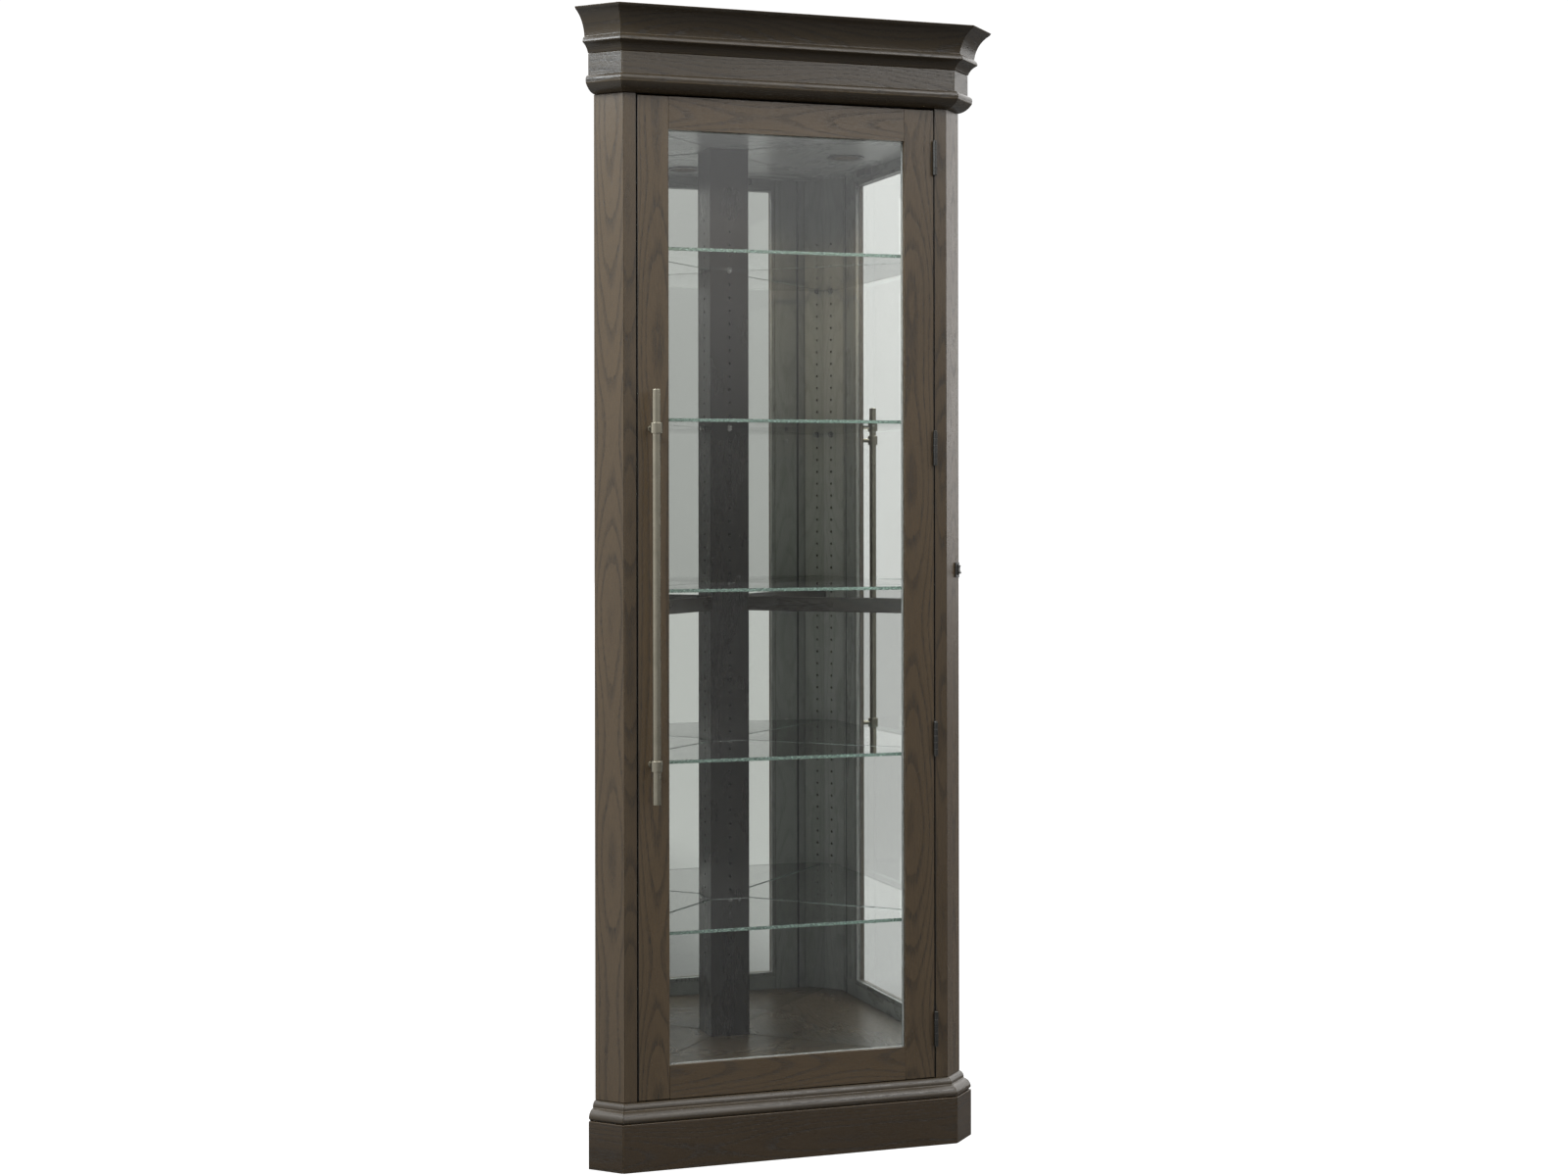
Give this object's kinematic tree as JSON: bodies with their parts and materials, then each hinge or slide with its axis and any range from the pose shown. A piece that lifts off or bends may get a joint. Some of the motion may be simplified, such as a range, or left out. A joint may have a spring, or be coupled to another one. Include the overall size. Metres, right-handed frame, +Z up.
{
  "type": "corner curio cabinet",
  "caption": "Corner display cabinet with a hinged glazed door, canted sides, mirrored back walls, glass shelves and a moulded crown and base.",
  "frame": {"origin": "middle of the bounding box in X and Y, on the floor", "axes": "+Z up; the door faces -Y; +X is the hinge side, to the right of someone facing the door"},
  "size_m": [0.778, 0.425, 2],
  "materials": {
    "case_wood": "stained open-grain oak under a satin lacquer",
    "base_wood": "the same stain, darker, satin",
    "inner_wood": "dark stain inside the case, low sheen",
    "hardboard": "bare brown hardboard",
    "mirror": "silvered float glass",
    "shelf_glass": "clear float glass, green at the edges",
    "door_glass": "clear float glass",
    "handle_metal": "aged pewter-coloured plating, brushed",
    "hinge_metal": "oil-rubbed bronze",
    "strike_steel": "zinc plated",
    "black_plastic": "moulded, matt",
    "light_shell": "satin",
    "light_lens": "frosted"
  },
  "bodies": {
    "cabinet": {"back_panel_left": "hardboard", "back_panel_right": "hardboard", "back_post": "inner_wood", "base_moulding_front": "case_wood", "base_moulding_left": "case_wood", "base_moulding_right": "case_wood", "bottom_deck": "inner_wood", "ceiling_panel": "inner_wood", "crown_front": "case_wood", "crown_left": "case_wood", "crown_right": "case_wood", "face_stile_left": "case_wood", "face_stile_right": "case_wood", "frieze_front": "case_wood", "frieze_left": "case_wood", "frieze_right": "case_wood", "glass_shelf_1": "shelf_glass", "glass_shelf_2": "shelf_glass", "glass_shelf_3": "shelf_glass", "glass_shelf_4": "shelf_glass", "glass_shelf_5": "shelf_glass", "hinge_1_frame_leaf": "hinge_metal", "hinge_1_pin": "hinge_metal", "hinge_2_frame_leaf": "hinge_metal", "hinge_2_pin": "hinge_metal", "hinge_3_frame_leaf": "hinge_metal", "hinge_3_pin": "hinge_metal", "hinge_4_frame_leaf": "hinge_metal", "hinge_4_pin": "hinge_metal", "light_housing": "light_shell", "light_lens": "light_lens", "magnetic_catch": "black_plastic", "mid_rail_left": "inner_wood", "mid_rail_right": "inner_wood", "mirror_lower_left": "mirror", "mirror_lower_right": "mirror", "mirror_upper_left": "mirror", "mirror_upper_right": "mirror", "plinth_front": "base_wood", "plinth_left": "base_wood", "plinth_right": "base_wood", "side_panel_left": "case_wood", "side_panel_right": "case_wood", "switch_housing": "black_plastic", "top_panel": "inner_wood"},
    "door": {"door_glass": "door_glass", "door_rail_bottom": "case_wood", "door_rail_top": "case_wood", "door_stile_left": "case_wood", "door_stile_right": "case_wood", "glazing_bead": "case_wood", "handle_bar": "handle_metal", "handle_post_lower": "handle_metal", "handle_post_upper": "handle_metal", "hinge_1_door_leaf": "hinge_metal", "hinge_2_door_leaf": "hinge_metal", "hinge_3_door_leaf": "hinge_metal", "hinge_4_door_leaf": "hinge_metal", "strike_plate": "strike_steel"},
    "rocker": {"switch_rocker": "black_plastic"}
  },
  "joints": [
    {"name": "door_hinge", "type": "hinge", "parent": "cabinet", "child": "door", "pos_m": [0.2777, -0.15222, 0.98595], "axis": [0, 0, 1], "range_deg": [0, 120]},
    {"name": "light_rocker", "type": "hinge", "parent": "cabinet", "child": "rocker", "pos_m": [0.33332, -0.11307, 1.0275], "axis": [0.7071, 0.7071, 0], "range_deg": [0, 14]}
  ]
}
